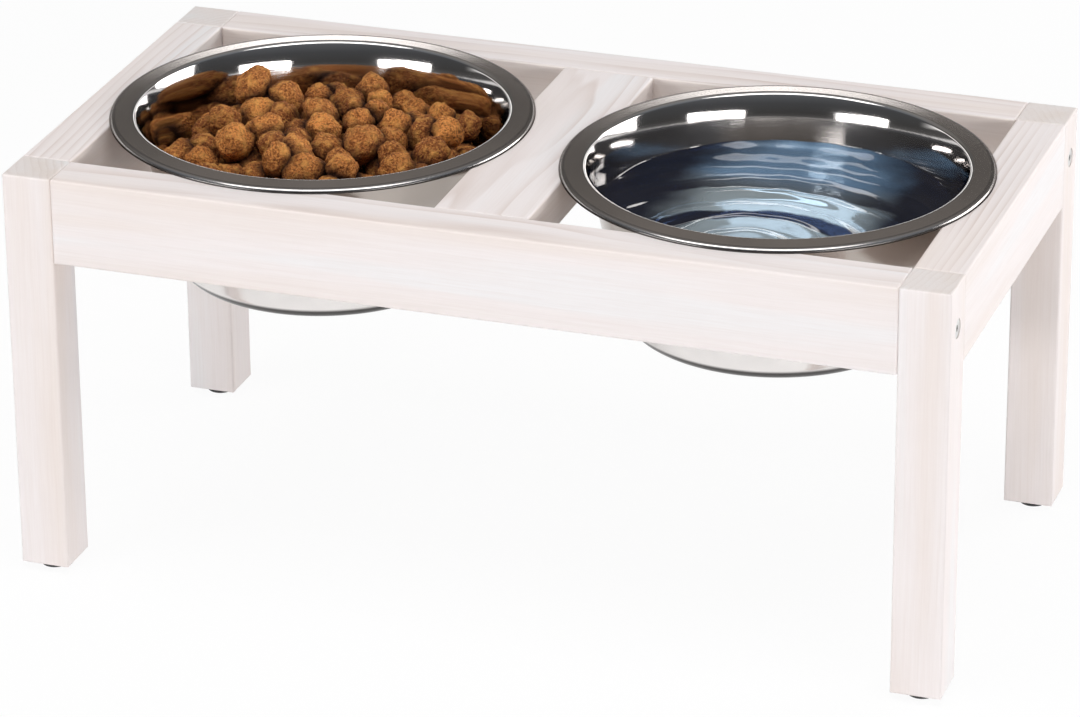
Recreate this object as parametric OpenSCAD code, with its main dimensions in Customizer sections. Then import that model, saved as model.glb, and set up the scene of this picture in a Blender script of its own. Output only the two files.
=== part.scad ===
// Raised feeder for a dog: a bolted pine stand that carries two lift-out steel bowls.
// Millimetres, +Z up, front towards -Y. The origin lies on the floor under the middle of the stand.

/* [Bowls] */
// Diameter of the inner edge of the flat rim, where the bend down to the flare begins
rim_inner_d = 240; // [220:1:260]
// Width of the flat rim, out to the face of the lip
rim_w = 14; // [11:0.5:20]
// Radius of the bend from the flat rim down to the flare
throat_r = 3; // [2:0.5:6]
// Radius of the flare that widens the upper wall
flare_r = 60; // [30:1:90]
// Lean of the flare from upright, where it meets the bend at the rim (degrees)
flare_lean = 26; // [24:1:40]
// Slope of the flat rim, down from its inner edge to its lip (degrees)
rim_slope = 3.8; // [0:0.2:6]
// Outer radius of the bend from the flat rim down to the lip
lip_r = 2.5; // [1.6:0.1:4]
// Height of the straight edge of the lip, below its bend
lip_edge = 0.3; // [0.2:0.1:3]
// Depth of a bowl, from the top of its rim to its underside
bowl_depth = 105.5; // [80:0.5:150]
// Diameter of the flat underside of a bowl
base_d = 166; // [140:1:190]
// Inner radius of the bend from the base up to the wall
base_r = 12; // [6:1:25]
// Thickness of the steel sheet
sheet = 0.8; // [0.6:0.1:1.2]

/* [Timber] */
// Height of the top of the stand above the floor
stand_h = 270; // [200:1:400]
// Side of the square legs, which is also the thickness of the rails
stock = 32; // [28:1:45]
// Height of the rails
rail_h = 56; // [48:1:80]
// Width of the centre bar
bar_w = 60; // [46:1:100]
// Thickness of the centre bar
bar_t = 27; // [20:1:40]
// Radius of the eased edges of the timber
ease_r = 1.5; // [0.5:0.5:4]
// Room beside the neck of a bowl, to the side rail and to the centre bar
side_gap = 1; // [0.6:0.2:5]
// Room before and behind the neck of a bowl, to the front and rear rails
front_gap = 5; // [0.6:0.2:8]

/* [Dowels] */
// Diameter of the dowels
dowel_d = 8; // [6:1:9]
// Length of the dowels
dowel_l = 30; // [26:1:40]
// Chamfer at the ends of the dowels
dowel_chamfer = 1; // [0.5:0.25:1.5]
// Distance of a dowel from the nearer edge of the front or rear rail
long_dowel_edge = 10; // [8:0.5:12]
// Distance of a dowel from the nearer edge of a side rail
side_dowel_edge = 18; // [15:0.5:20]
// Distance of a dowel from the nearer side of the centre bar
bar_dowel_edge = 14; // [10:0.5:20]
// Wood left in a leg between the dowels that point at each other's path
dowel_web = 1; // [0.5:0.5:3]

/* [Bolts] */
// Diameter of the bolt shanks
bolt_d = 6; // [5:0.5:7]
// Diameter of the bolt heads
bolt_head_d = 11.5; // [10:0.5:14]
// Height of the bolt heads
bolt_head_h = 4.5; // [3.5:0.5:6]
// Distance of the bolt heads below the faces of the legs
bolt_sink = 0.5; // [0.2:0.1:2]
// Size of the hexagon sockets across their flats
socket_af = 4; // [3:0.5:5]
// Depth of the hexagon sockets
socket_depth = 3; // [2:0.5:3]
// Diameter of the barrel nuts
nut_d = 10; // [9:0.5:14]
// Length of the barrel nuts
nut_l = 16; // [12:1:22]
// Distance of a barrel nut from the end of its rail
nut_inset = 28; // [24:1:40]
// Width of the screwdriver slots in the barrel nuts
slot_w = 1.4; // [1:0.1:2]
// Depth of the screwdriver slots in the barrel nuts
slot_depth = 1.6; // [1:0.1:2.5]

/* [Glides] */
// Diameter of the glides under the legs
glide_d = 19; // [14:1:26]
// Height of the glides
glide_h = 5; // [2.5:0.5:6]
// Rounding of the lower edge of the glides
glide_round = 1; // [0.5:0.25:2]
// Diameter of the nails that hold the glides
nail_d = 2.5; // [2:0.1:3]
// Length of the nails under the head
nail_l = 16; // [12:1:25]
// Diameter of the nail heads
nail_head_d = 7; // [5:0.5:9]
// Height of the nail heads
nail_head_h = 1; // [0.8:0.1:1.4]
// Height of the nail heads above the floor
nail_sink = 0.4; // [0.2:0.1:0.8]

/* [Clearances] */
// Radial clearance of dowels, nuts and nails in their holes, and of bolts in the nuts
fit_clear = 0.1; // [0.05:0.05:0.2]
// Radial clearance of the bolts in the timber
bolt_clear = 0.3; // [0.2:0.1:0.6]
// Room left beyond the end of a dowel, bolt or nail
end_clear = 0.5; // [0.25:0.25:1]

/* [Hidden] */
$fn = 96;
arc_steps = 8;
slot_over = 1;

steel_colour = "#c9cccf";
wood_colour = "#ece5e1";
dowel_colour = "#d9bb8e";
zinc_colour = "#b4b7ba";
glide_colour = "#3a393b";

// The neck of the bowl hangs inside the opening, and the rim reaches over the timber round it.
neck_r = rim_inner_d / 2 - (throat_r - sheet) * cos(flare_lean);
rim_r = rim_inner_d / 2 + rim_w;
opening_x = 2 * (neck_r + side_gap);
opening_y = 2 * (neck_r + front_gap);
bowl_x = (bar_w + opening_x) / 2;

// Half sizes of the stand, outside and between the legs
inner_x = bar_w / 2 + opening_x;
inner_y = opening_y / 2;
half_w = inner_x + stock;
half_d = inner_y + stock;

// Heights and middle lines that the joinery shares
rail_z = stand_h - rail_h;
rail_mid = stand_h - rail_h / 2;
bar_z = stand_h - bar_t;
bar_mid = stand_h - bar_t / 2;
leg_mid_x = half_w - stock / 2;
leg_mid_y = half_d - stock / 2;

// Dowel places, above and below the middle of a rail and beside the middle of the bar
long_dowel_dz = rail_h / 2 - long_dowel_edge;
side_dowel_dz = rail_h / 2 - side_dowel_edge;
bar_dowel_dx = bar_w / 2 - bar_dowel_edge;
dowel_in_leg = stock / 2 - dowel_d / 2 - dowel_web;
dowel_in_bar = dowel_l / 2;

// Bolt lengths: through the leg and the nut, and a little further
bolt_seat = bolt_sink + bolt_head_h;
bolt_past_nut = nut_d / 2 + 1;
shank_l = stock - bolt_seat + nut_inset + bolt_past_nut;

// The bowl wall is the straight line that touches the flare below the rim and the bend at the base.
throat_c = [rim_inner_d / 2, -throat_r];
flare_c = throat_c + (flare_r - throat_r) * [cos(flare_lean), -sin(flare_lean)];
base_c = [base_d / 2, sheet + base_r - bowl_depth];
bend_span = flare_c - base_c;
wall_lean = 90 - atan2(bend_span.y, bend_span.x) - asin((flare_r + base_r) / norm(bend_span));

// The flat rim touches the bends on both its sides, and the edge of the lip rests on the stand.
rim_normal = [sin(rim_slope), cos(rim_slope)];
rim_start = throat_c + (throat_r - lip_r) * rim_normal;
lip_c = [rim_r - lip_r, rim_start.y - (rim_r - lip_r - rim_start.x) * tan(rim_slope)];
lip_h = lip_edge - lip_c.y;
rim_z = stand_h + lip_h;

// Points along an arc, from one angle to another
function arc(centre, r, from, to) =
    [for (i = [0:arc_steps]) let (a = from + (to - from) * i / arc_steps) centre + r * [cos(a), sin(a)]];

// Half section of a bowl: along the inside from the middle out to the lip, and back underneath.
// The top of the rim is at height 0.
function bowl_section() = concat(
    [[0, sheet - bowl_depth]],
    arc(base_c, base_r, -90, -wall_lean),
    arc(flare_c, flare_r, 180 - wall_lean, 180 - flare_lean),
    arc(throat_c, throat_r, 180 - flare_lean, 90 - rim_slope),
    arc(lip_c, lip_r, 90 - rim_slope, 0),
    [[rim_r, -lip_h], [rim_r - sheet, -lip_h]],
    arc(lip_c, lip_r - sheet, 0, 90 - rim_slope),
    arc(throat_c, throat_r - sheet, 90 - rim_slope, 180 - flare_lean),
    arc(flare_c, flare_r - sheet, 180 - flare_lean, 180 - wall_lean),
    arc(base_c, base_r + sheet, -wall_lean, -90),
    [[0, -bowl_depth]]
);

// Everything is drawn in the right rear quarter and mirrored to where it belongs.
module to_side(side) mirror([side < 0 ? 1 : 0, 0, 0]) children();
module to_end(end) mirror([0, end < 0 ? 1 : 0, 0]) children();
module along_x() rotate([0, 90, 0]) children();
module along_y() rotate([-90, 0, 0]) children();

module rounded_square(w, h) {
    translate([ease_r, 0]) square([w - 2 * ease_r, h]);
    translate([0, ease_r]) square([w, h - 2 * ease_r]);
    for (x = [ease_r, w - ease_r], y = [ease_r, h - ease_r])
        translate([x, y]) circle(r = ease_r);
}

// A length of timber with all its edges eased
module timber(size) {
    intersection() {
        linear_extrude(size.z) rounded_square(size.x, size.y);
        rotate([90, 0, 90]) linear_extrude(size.x) rounded_square(size.y, size.z);
        translate([0, size.y, 0]) rotate([90, 0, 0]) linear_extrude(size.y) rounded_square(size.x, size.z);
    }
}

// A dowel along +Z from the origin, and the hole for the part of one that lies in a piece
module dowel() {
    straight = dowel_l - 2 * dowel_chamfer;
    tip_d = dowel_d - 2 * dowel_chamfer;
    cylinder(d1 = tip_d, d2 = dowel_d, h = dowel_chamfer);
    translate([0, 0, dowel_chamfer]) cylinder(d = dowel_d, h = straight);
    translate([0, 0, dowel_chamfer + straight]) cylinder(d1 = dowel_d, d2 = tip_d, h = dowel_chamfer);
}

module dowel_hole(depth) {
    cylinder(d = dowel_d + 2 * fit_clear, h = depth + end_clear);
}

// Places of the dowels: each child starts at the joint face and points out into the leg or rail.
module at_long_rail_dowels() {
    for (dz = [-long_dowel_dz, long_dowel_dz])
        translate([inner_x, leg_mid_y, rail_mid + dz]) along_x() children();
}

module at_side_rail_dowels() {
    for (dz = [-side_dowel_dz, side_dowel_dz])
        translate([leg_mid_x, inner_y, rail_mid + dz]) along_y() children();
}

module at_bar_dowels() {
    for (dx = [-bar_dowel_dx, bar_dowel_dx])
        translate([dx, inner_y, bar_mid]) along_y() children();
}

// Bolt axis: the child starts on the outer face of the leg and points in along the rail.
module at_bolt() {
    translate([half_w, leg_mid_y, rail_mid]) rotate([0, -90, 0]) children();
}

module bolt_hole() {
    cylinder(d = bolt_d + 2 * bolt_clear, h = bolt_seat + shank_l + end_clear);
    cylinder(d = bolt_head_d + 2 * bolt_clear, h = bolt_seat);
}

module leg(side, end) {
    color(wood_colour) to_side(side) to_end(end) difference() {
        translate([inner_x, inner_y, glide_h]) timber([stock, stock, stand_h - glide_h]);
        at_bolt() bolt_hole();
        at_long_rail_dowels() dowel_hole(dowel_in_leg);
        at_side_rail_dowels() dowel_hole(dowel_in_leg);
        translate([leg_mid_x, leg_mid_y, 0])
            cylinder(d = nail_d + 2 * fit_clear, h = nail_sink + nail_head_h + nail_l + end_clear);
    }
}

// The front and the rear rail, bolted between the side frames
module long_rail(end) {
    color(wood_colour) to_end(end) difference() {
        translate([-inner_x, inner_y, rail_z]) timber([2 * inner_x, stock, rail_h]);
        for (side = [-1, 1]) to_side(side) {
            at_bolt() bolt_hole();
            at_long_rail_dowels() mirror([0, 0, 1]) dowel_hole(dowel_l - dowel_in_leg);
            translate([inner_x - nut_inset, inner_y, rail_mid]) along_y()
                cylinder(d = nut_d + 2 * fit_clear, h = (stock + nut_l) / 2 + fit_clear);
        }
        at_bar_dowels() dowel_hole(dowel_in_bar);
    }
}

// The left and the right rail, dowelled between a front and a rear leg
module side_rail(side) {
    color(wood_colour) to_side(side) difference() {
        translate([inner_x, -inner_y, rail_z]) timber([stock, 2 * inner_y, rail_h]);
        for (end = [-1, 1]) to_end(end)
            at_side_rail_dowels() mirror([0, 0, 1]) dowel_hole(dowel_l - dowel_in_leg);
    }
}

module centre_bar() {
    color(wood_colour) difference() {
        translate([-bar_w / 2, -inner_y, bar_z]) timber([bar_w, 2 * inner_y, bar_t]);
        for (end = [-1, 1]) to_end(end)
            at_bar_dowels() mirror([0, 0, 1]) dowel_hole(dowel_l - dowel_in_bar);
    }
}

module long_rail_dowels(end) {
    color(dowel_colour) to_end(end)
        for (side = [-1, 1]) to_side(side)
            at_long_rail_dowels() translate([0, 0, dowel_in_leg - dowel_l]) dowel();
}

module side_rail_dowels(side) {
    color(dowel_colour) to_side(side)
        for (end = [-1, 1]) to_end(end)
            at_side_rail_dowels() translate([0, 0, dowel_in_leg - dowel_l]) dowel();
}

module bar_dowels() {
    color(dowel_colour)
        for (end = [-1, 1]) to_end(end)
            at_bar_dowels() translate([0, 0, dowel_in_bar - dowel_l]) dowel();
}

// A bolt with a hexagon socket, its head on the floor of the hole in the leg
module bolt(side, end) {
    color(zinc_colour) to_side(side) to_end(end) at_bolt() difference() {
        union() {
            translate([0, 0, bolt_sink]) cylinder(d = bolt_head_d, h = bolt_head_h);
            translate([0, 0, bolt_sink]) cylinder(d = bolt_d, h = bolt_head_h + shank_l);
        }
        cylinder(d = socket_af / cos(30), h = bolt_sink + socket_depth, $fn = 6);
    }
}

// A barrel nut across the rail, with the slot that turns it towards the bolt
module barrel_nut(side, end) {
    color(zinc_colour) to_side(side) to_end(end)
        translate([inner_x - nut_inset, leg_mid_y - nut_l / 2, rail_mid]) along_y() difference() {
            cylinder(d = nut_d, h = nut_l);
            translate([-nut_d, 0, nut_l / 2]) along_x()
                cylinder(d = bolt_d + 2 * fit_clear, h = 2 * nut_d);
            translate([-nut_d, -slot_w / 2, -slot_over]) cube([2 * nut_d, slot_w, slot_over + slot_depth]);
        }
}

// A plastic glide with a recess for the head of its nail
module glide(side, end) {
    head_room = nail_head_d + 2 * bolt_clear;
    color(glide_colour) to_side(side) to_end(end) translate([leg_mid_x, leg_mid_y, 0]) difference() {
        union() {
            cylinder(d1 = glide_d - 2 * glide_round, d2 = glide_d, h = glide_round);
            translate([0, 0, glide_round]) cylinder(d = glide_d, h = glide_h - glide_round);
        }
        cylinder(d = nail_d + 2 * fit_clear, h = glide_h);
        cylinder(d = head_room, h = nail_sink + nail_head_h);
    }
}

module nail() {
    point_l = 2 * nail_d;
    translate([0, 0, nail_sink]) {
        cylinder(d = nail_head_d, h = nail_head_h);
        cylinder(d = nail_d, h = nail_head_h + nail_l - point_l);
        translate([0, 0, nail_head_h + nail_l - point_l]) cylinder(d1 = nail_d, d2 = nail_d / 4, h = point_l);
    }
}

module glide_nails() {
    color(zinc_colour)
        for (side = [-1, 1], end = [-1, 1])
            to_side(side) to_end(end) translate([leg_mid_x, leg_mid_y, 0]) nail();
}

module bowl(side) {
    color(steel_colour) translate([side * bowl_x, 0, rim_z]) rotate_extrude() polygon(bowl_section());
}

leg(-1, -1);  // leg_front_left
leg(1, -1);  // leg_front_right
leg(-1, 1);  // leg_rear_left
leg(1, 1);  // leg_rear_right
long_rail(-1);  // front_rail
long_rail(1);  // rear_rail
side_rail(-1);  // left_rail
side_rail(1);  // right_rail
centre_bar();
long_rail_dowels(-1);  // dowels_front_rail
long_rail_dowels(1);  // dowels_rear_rail
side_rail_dowels(-1);  // dowels_left_rail
side_rail_dowels(1);  // dowels_right_rail
bar_dowels();  // dowels_centre_bar
bolt(-1, -1);  // bolt_front_left
bolt(1, -1);  // bolt_front_right
bolt(-1, 1);  // bolt_rear_left
bolt(1, 1);  // bolt_rear_right
barrel_nut(-1, -1);  // barrel_nut_front_left
barrel_nut(1, -1);  // barrel_nut_front_right
barrel_nut(-1, 1);  // barrel_nut_rear_left
barrel_nut(1, 1);  // barrel_nut_rear_right
glide(-1, -1);  // glide_front_left
glide(1, -1);  // glide_front_right
glide(-1, 1);  // glide_rear_left
glide(1, 1);  // glide_rear_right
glide_nails();
bowl(-1);  // left_bowl
bowl(1);  // right_bowl
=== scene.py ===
"""Looks of a raised dog feeder: a whitewashed pine stand, lift-out steel bowls, dry food and water."""

import math

import bmesh
import bpy
import numpy as np
from bpy.props import BoolProperty, FloatProperty, FloatVectorProperty, IntProperty, PointerProperty
from mathutils import Matrix, Vector, noise


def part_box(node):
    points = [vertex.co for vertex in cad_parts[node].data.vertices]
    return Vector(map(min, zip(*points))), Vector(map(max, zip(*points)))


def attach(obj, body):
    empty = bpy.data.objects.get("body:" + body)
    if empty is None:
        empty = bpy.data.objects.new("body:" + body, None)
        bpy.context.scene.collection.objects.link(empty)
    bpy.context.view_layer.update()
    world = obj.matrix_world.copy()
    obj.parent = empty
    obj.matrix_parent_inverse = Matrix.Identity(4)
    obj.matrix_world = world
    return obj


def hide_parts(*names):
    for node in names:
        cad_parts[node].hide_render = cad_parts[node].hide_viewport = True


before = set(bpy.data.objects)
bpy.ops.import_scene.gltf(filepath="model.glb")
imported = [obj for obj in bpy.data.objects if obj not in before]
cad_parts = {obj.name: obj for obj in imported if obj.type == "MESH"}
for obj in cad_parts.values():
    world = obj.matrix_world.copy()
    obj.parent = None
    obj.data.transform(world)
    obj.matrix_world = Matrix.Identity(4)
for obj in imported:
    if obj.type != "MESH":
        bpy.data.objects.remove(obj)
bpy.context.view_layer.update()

bl_info = {
    "name": "Raised dog feeder",
    "version": (1, 0, 0),
    "blender": (4, 5, 0),
    "location": "View3D > Sidebar > Feeder",
    "description": "Dresses a raised dog feeder: pine stand, steel bowls, dry food and water",
    "category": "Object",
}

BOWL_LOW, BOWL_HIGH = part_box("left_bowl")
RIM_RADIUS = (BOWL_HIGH.x - BOWL_LOW.x) / 2
BOWL_DEPTH = BOWL_HIGH.z - BOWL_LOW.z
CORNERS = ("front_left", "front_right", "rear_left", "rear_right")
SIDES = ("left", "right")
GRAIN_TURN = {"x": (0.0, math.pi / 2, 0.0), "y": (math.pi / 2, 0.0, 0.0), "z": (0.0, 0.0, 0.0)}
TIMBER_GRAIN = {
    "front_rail": "x", "rear_rail": "x", "left_rail": "y", "right_rail": "y", "centre_bar": "y",
    "leg_front_left": "z", "leg_front_right": "z", "leg_rear_left": "z", "leg_rear_right": "z",
}
# Direction in which each rail faces a bowl, where its faces get painted shade; the centre bar faces one on
# both sides
INNER_SIDE = {
    "front_rail": (0.0, 1.0, 0.0), "rear_rail": (0.0, -1.0, 0.0), "left_rail": (1.0, 0.0, 0.0),
    "right_rail": (-1.0, 0.0, 0.0), "centre_bar": (1.0, 0.0, 0.0),
}

# Distance between two growth rings of the pine
PINE_RING_PITCH = 0.0044
# How strongly the grain lines show on upright faces, on the tops of the rails and on the tops of the legs
FACE_LINES = 0.10
TOP_LINES = 0.98
END_LINES = 0.45
# Cosines between which a face comes to count as turned in a direction
FACING = (0.6, 0.9)

# Steps along each stretch of the half section of a bowl
SECTION_STEPS = {
    "base": 12, "bend": 16, "wall": 20, "flare": 16, "throat": 12, "rim": 8, "lip": 12, "lip_under": 6,
}
# Edges of a bowl that bend more than this stay sharp
SHARP_ANGLE = math.radians(50)
# Heights below the rim between which painted shade and reflection darken the outside of a bowl towards its
# rim
PAINTED_SHADE_UNDER_RIM = (-0.060, -0.025)
# Where the painted dark edges of base and lip begin and are full, as shares of the radius of their bends
BASE_EDGE = (0.72, 0.50)
LIP_EDGE = (0.50, 0.30)
PAINTED_BAND_STRENGTH = 0.95

# Layout of the heap of food: half of the square that is filled, the spacing in nuggets, the steps between
# layers and rows in spacings, the scatter in nuggets, the range of sizes, and the rounds of settling
HEAP_HALF = 0.12
HEAP_SPACING = 0.93
LAYER_STEP = 0.82
ROW_STEP = 0.87
SCATTER = 0.16
NUGGET_SPREAD = (0.84, 1.14)
SETTLE_ROUNDS = 60
# In each round: the share of both radii at which two nuggets touch, how much of an overlap is pushed out,
# and the step by which all of them sink
TOUCHING = 0.96
PUSHED_SHARE = 0.22
SINK_STEP = 0.0001
# Distance of the top of the heap behind the middle of its bowl, and fineness and height of its unevenness
HEAP_BEHIND = 0.018
HEAP_UNEVEN = (42.0, 0.007)
# Share of the nuggets that are baked together, and how far such a pair is drawn together
FUSED_SHARE = 0.6
FUSED_STEP = 0.15
# Fineness and height of the lumps on a nugget of radius 1
NUGGET_LUMPS = ((1.3, 0.20), (3.1, 0.11), (6.5, 0.06), (12.0, 0.055))
NUGGET_SQUEEZE = (0.78, 1.15)
# Depth below the heap's skin, in nuggets, down to which nuggets have a fine mesh
FINE_DEPTH = 1.9
# Range of the random tones; painted shade deeper in the heap: the depths over which it deepens, its
# brightness at the skin and its fall with depth
NUGGET_TONES = (0.25, 1.1)
SHADE_DEPTHS = (0.01, 0.04)
SKIN_BRIGHTNESS = 1.2
DEPTH_SHADE_FALL = 26.0
# In radii: how far off a neighbour may lie to darken a nugget with painted shade, and the gap at which a
# point is clear of it
NEIGHBOUR_REACH = 2.8
CLEAR_GAP = 0.55

# Middle, length and phase of each train of ripples, and the distance over which they fade
RIPPLES = ((0.000, -0.070, 0.021, 0.0), (-0.020, -0.20, 0.036, 1.7), (0.16, 0.06, 0.027, 0.6))
RIPPLE_FADE = 0.20
# Middle of the rings of painted shade in the water, from the middle of the rim, the distance between two
# rings, and how far they wander
PAINTED_WATER_RINGS = (0.004, -0.093, -0.029)
PAINTED_RING_PITCH = 0.051
WATER_WANDER = 0.016

# Name, place, size and radiance of each lamp, and the place at which all of them point
SOFT_BOXES = (
    ("fill_left", (-1.76, -2.43, 0.72), (1.9, 0.45), 10.5),
    ("fill_right", (2.52, -1.63, 0.72), (1.9, 0.45), 9.4),
    ("key_right", (1.84, 1.54, 0.92), (1.6, 0.9), 5.2),
    ("top", (0.05, -0.60, 2.20), (2.6, 1.2), 3.15),
)
LAMP_AIM = (0.0, 0.0, 0.27)
# Colours of the room, and of its wall behind the stand, by the height of a direction
ROOM_STOPS = (
    (0.0, (1.0, 1.0, 1.0)), (0.055, (1.0, 1.0, 1.0)), (0.075, (0.12, 0.12, 0.12)),
    (0.15, (0.065, 0.065, 0.065)), (0.36, (0.080, 0.084, 0.090)), (0.54, (0.14, 0.15, 0.165)),
    (0.75, (0.22, 0.24, 0.265)), (1.0, (0.32, 0.32, 0.32)),
)
WALL_STOPS = (
    (0.0, (1.0, 1.0, 1.0)), (0.055, (1.0, 1.0, 1.0)), (0.075, (0.10, 0.10, 0.10)),
    (0.16, (0.10, 0.10, 0.10)), (0.19, (2.4, 2.4, 2.4)), (0.23, (2.4, 2.4, 2.4)),
    (0.265, (0.12, 0.115, 0.11)), (0.40, (0.13, 0.125, 0.12)), (0.50, (0.21, 0.20, 0.19)),
    (1.0, (0.32, 0.32, 0.32)),
)
WALL_SIDE = (-0.33, 0.94, 0.0)
# Half of the floor's side, and how white it is to the eye and in reflections
FLOOR_HALF = 14.0
FLOOR_SEEN = 0.94
FLOOR_MIRRORED = 0.5
SENSOR_WIDTH = 36.0


def bowl_axis(side):
    """Middle of a bowl at the top of its rim."""
    low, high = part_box(side + "_bowl")
    return Vector(((low.x + high.x) / 2, 0.0, high.z))


class FeederBowlSizes(bpy.types.PropertyGroup):
    """Sizes of the pressed steel bowls"""

    rim_width: FloatProperty(
        name="Rim width", description="Width of the flat rim", default=0.014, unit="LENGTH")
    throat_radius: FloatProperty(
        name="Throat radius", description="Radius of the bend from the rim to the flare",
        default=0.003, unit="LENGTH")
    flare_radius: FloatProperty(
        name="Flare radius", description="Radius of the flare of the upper wall",
        default=0.060, unit="LENGTH")
    flare_lean: FloatProperty(
        name="Flare lean", description="Lean of the flare where it meets the bend at the rim",
        default=math.radians(26.0), subtype="ANGLE")
    rim_slope: FloatProperty(
        name="Rim slope", description="Slope of the flat rim, down from its inner edge to its lip",
        default=math.radians(3.8), subtype="ANGLE")
    lip_radius: FloatProperty(
        name="Lip radius", description="Radius of the bend from the rim to the lip",
        default=0.0025, unit="LENGTH")
    lip_edge: FloatProperty(
        name="Lip edge", description="Height of the straight edge of the lip below its bend",
        default=0.0003, unit="LENGTH")
    base_radius: FloatProperty(
        name="Base radius", description="Radius of the flat underside", default=0.083, unit="LENGTH")
    base_bend: FloatProperty(
        name="Base bend", description="Inner radius of the bend from the base to the wall",
        default=0.012, unit="LENGTH")
    sheet: FloatProperty(
        name="Sheet", description="Thickness of the steel sheet", default=0.0008, unit="LENGTH")
    turns: IntProperty(
        name="Segments", description="Segments round a bowl", default=192, min=48)


class FeederFood(bpy.types.PropertyGroup):
    """Dry food in the left bowl and water in the right bowl"""

    show_food: BoolProperty(
        name="Dry food", description="Fill the left bowl with dry food", default=True)
    show_water: BoolProperty(
        name="Water", description="Fill the right bowl with water", default=True)
    nugget: FloatProperty(
        name="Nugget size", description="Mean diameter of a food nugget", default=0.0230, unit="LENGTH")
    heap_edge: FloatProperty(
        name="Heap edge", description="Depth of the heap below the rim at the wall",
        default=0.026, unit="LENGTH")
    heap_rise: FloatProperty(
        name="Heap rise", description="Rise of the heap from the wall to its middle",
        default=0.022, unit="LENGTH")
    seed: IntProperty(name="Seed", description="Seed of the heap", default=7)
    water_depth: FloatProperty(
        name="Water level", description="Depth of the water level below the rim",
        default=0.029, unit="LENGTH")
    ripple: FloatProperty(
        name="Ripple", description="Height of the ripples", default=0.0006, unit="LENGTH")


class FeederColours(bpy.types.PropertyGroup):
    """Colours of the finishes"""

    wash: FloatVectorProperty(
        name="Whitewash", description="Colour of the washed pine",
        subtype="COLOR", default=(0.88, 0.818, 0.805), min=0.0, max=1.0)
    chalk: FloatVectorProperty(
        name="Chalky bands", description="Colour of the bands where the wash lies thick",
        subtype="COLOR", default=(0.865, 0.85, 0.855), min=0.0, max=1.0)
    end_grain: FloatVectorProperty(
        name="End grain", description="Shade of the end grain on top of the legs",
        subtype="COLOR", default=(0.90, 0.90, 0.885), min=0.0, max=1.0)
    warm: FloatVectorProperty(
        name="Warm streaks", description="Colour of the streaks where the pine shows through",
        subtype="COLOR", default=(0.80, 0.68, 0.60), min=0.0, max=1.0)
    late_wood: FloatVectorProperty(
        name="Grain lines", description="Colour of the grain lines under the wash",
        subtype="COLOR", default=(0.66, 0.55, 0.50), min=0.0, max=1.0)
    # Painted shade on the faces of the rails and the centre bar that are turned towards the bowls
    painted_inner_shade: FloatVectorProperty(
        name="Inner faces", description="Shade of the thin wash on the faces round the bowls",
        subtype="COLOR", default=(1.0, 0.97, 0.935), min=0.0, max=1.0)
    beech: FloatVectorProperty(
        name="Dowels", description="Colour of the beech dowels",
        subtype="COLOR", default=(0.62, 0.42, 0.24), min=0.0, max=1.0)
    steel: FloatVectorProperty(
        name="Steel", description="Colour of the stainless steel",
        subtype="COLOR", default=(0.66, 0.635, 0.62), min=0.0, max=1.0)
    rim: FloatVectorProperty(
        name="Steel rim", description="Colour of the steel of the flat rims",
        subtype="COLOR", default=(0.67, 0.61, 0.575), min=0.0, max=1.0)
    satin: FloatVectorProperty(
        name="Satin steel", description="Colour of the satin steel outside the bowls",
        subtype="COLOR", default=(0.92, 0.885, 0.865), min=0.0, max=1.0)
    # Painted shade and reflection of the shaded wood, on the outside of the bowls close under their rims
    upper: FloatVectorProperty(
        name="Upper wall", description="Colour of the steel outside the bowls, close under the rims",
        subtype="COLOR", default=(0.45, 0.40, 0.36), min=0.0, max=1.0)
    # Darker steel along the lips: painted dark reflection and shade
    lip: FloatVectorProperty(
        name="Steel lip", description="Colour of the steel along the turned lips",
        subtype="COLOR", default=(0.56, 0.53, 0.515), min=0.0, max=1.0)
    # Painted dark reflection and shade: round the base bend of the bowls, where the shaded floor under the
    # stand is mirrored, and along the lips
    painted_dark_edge: FloatVectorProperty(
        name="Burnished base", description="Colour of the steel round the base of the bowls",
        subtype="COLOR", default=(0.055, 0.052, 0.05), min=0.0, max=1.0)
    zinc: FloatVectorProperty(
        name="Zinc", description="Colour of the zinc plated fasteners",
        subtype="COLOR", default=(0.84, 0.83, 0.82), min=0.0, max=1.0)
    glide: FloatVectorProperty(
        name="Glides", description="Colour of the moulded glides",
        subtype="COLOR", default=(0.028, 0.027, 0.028), min=0.0, max=1.0)
    crust: FloatVectorProperty(
        name="Food crust", description="Colour of the toasted crust of the food",
        subtype="COLOR", default=(0.87, 0.325, 0.085), min=0.0, max=1.0)
    toasted: FloatVectorProperty(
        name="Toasted food", description="Colour of the darkest nuggets of the food",
        subtype="COLOR", default=(0.25, 0.072, 0.023), min=0.0, max=1.0)
    crumb: FloatVectorProperty(
        name="Food specks", description="Colour of the dark specks in the food",
        subtype="COLOR", default=(0.085, 0.025, 0.010), min=0.0, max=1.0)
    water: FloatVectorProperty(
        name="Water", description="Tint of the water",
        subtype="COLOR", default=(0.36, 0.64, 1.0), min=0.0, max=1.0)
    # Painted light: the brighter tint where the lit base shows through the front of the water
    painted_bright_water: FloatVectorProperty(
        name="Bright water", description="Tint of the water where its base shines through",
        subtype="COLOR", default=(0.80, 0.94, 1.0), min=0.0, max=1.0)
    # Painted shade: the dark rings in the water and its dark edge along the wall
    painted_water_shade: FloatVectorProperty(
        name="Shaded water", description="Tint of the water along the wall of its bowl",
        subtype="COLOR", default=(0.006, 0.012, 0.042), min=0.0, max=1.0)
    floor: FloatVectorProperty(
        name="Floor", description="Colour of the floor",
        subtype="COLOR", default=(0.94, 0.94, 0.94), min=0.0, max=1.0)


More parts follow.
